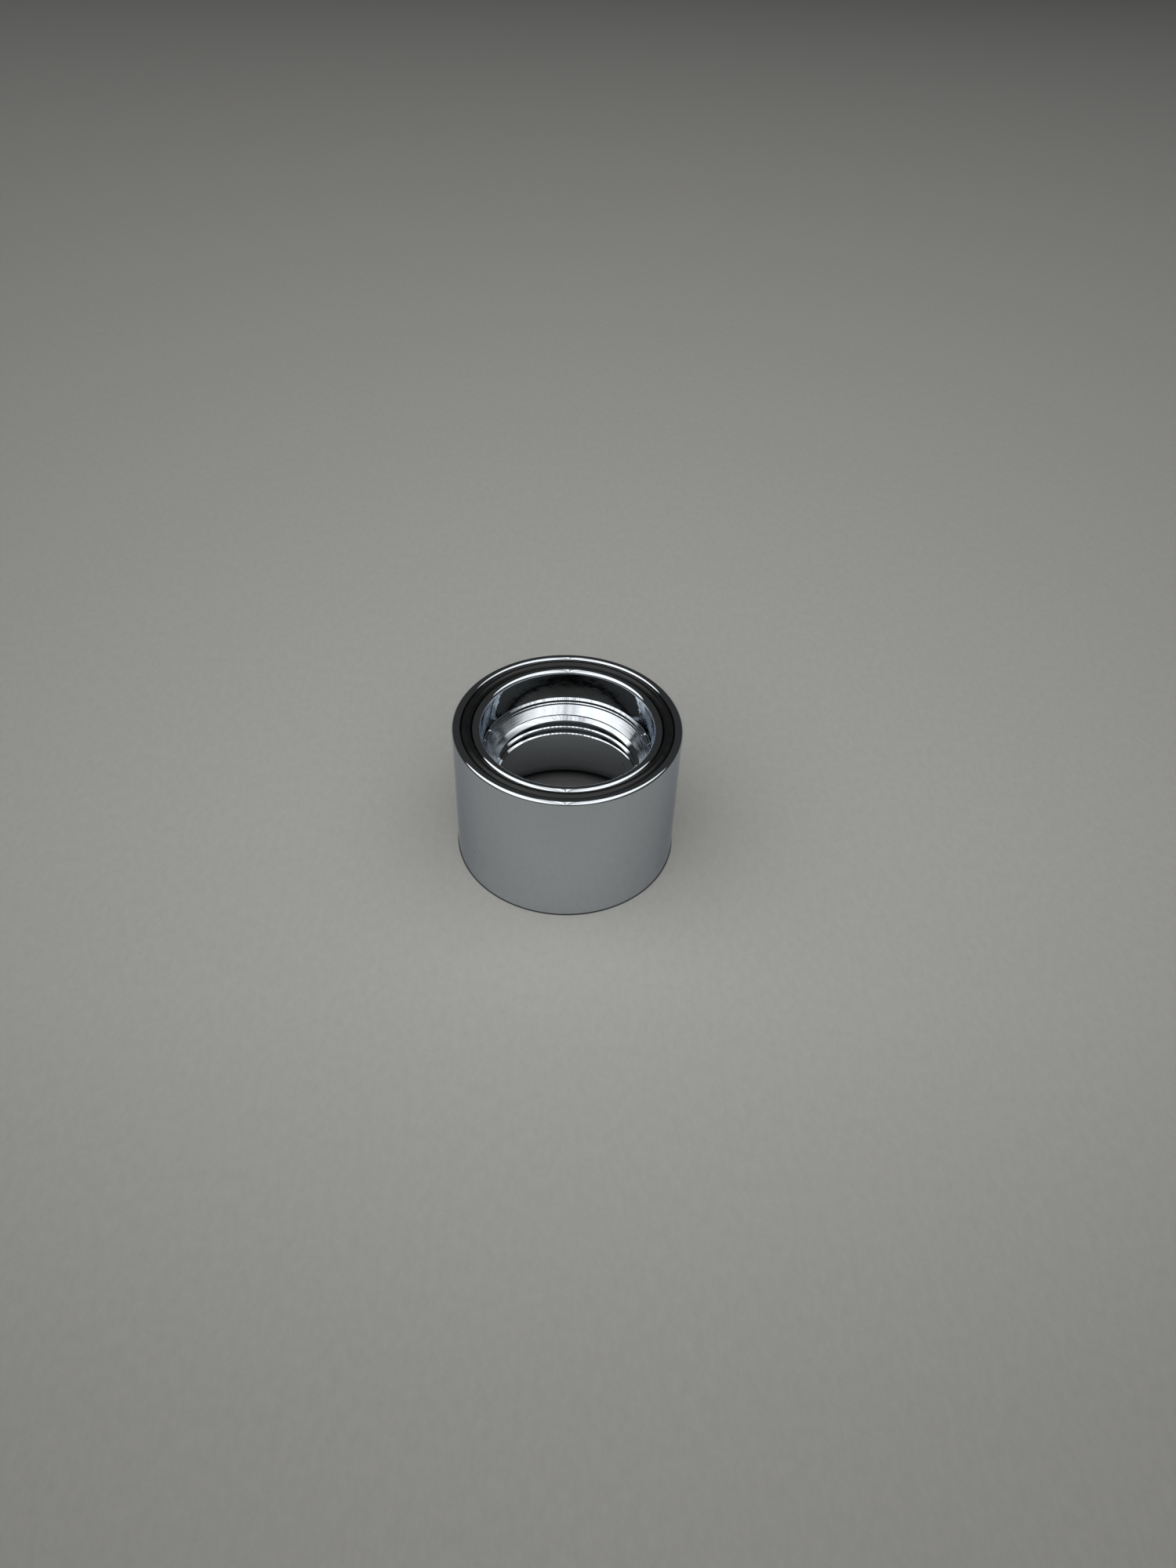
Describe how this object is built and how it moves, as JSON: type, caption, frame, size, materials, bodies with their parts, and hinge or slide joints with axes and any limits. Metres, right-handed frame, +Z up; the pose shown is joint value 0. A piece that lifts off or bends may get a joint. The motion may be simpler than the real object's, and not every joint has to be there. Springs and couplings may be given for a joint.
{
  "type": "threaded sleeve with sealing ring",
  "caption": "Short chromed turned sleeve with a stepped bore, a threaded collar inside and a rubber sealing ring let into its top face.",
  "frame": {"origin": "centre of the foot, on the surface the sleeve stands on", "axes": "+Z up along the turning axis, out of the mouth that holds the sealing ring; +X and +Y square to it"},
  "size_m": [0.036, 0.036, 0.0246],
  "materials": {
    "polished_chrome": "mirror polished outside, finely turned inside",
    "black_rubber": "smooth moulded, slightly oiled"
  },
  "bodies": {
    "root": {"sleeve_body": "polished_chrome", "sealing_ring": "black_rubber"}
  },
  "joints": []
}
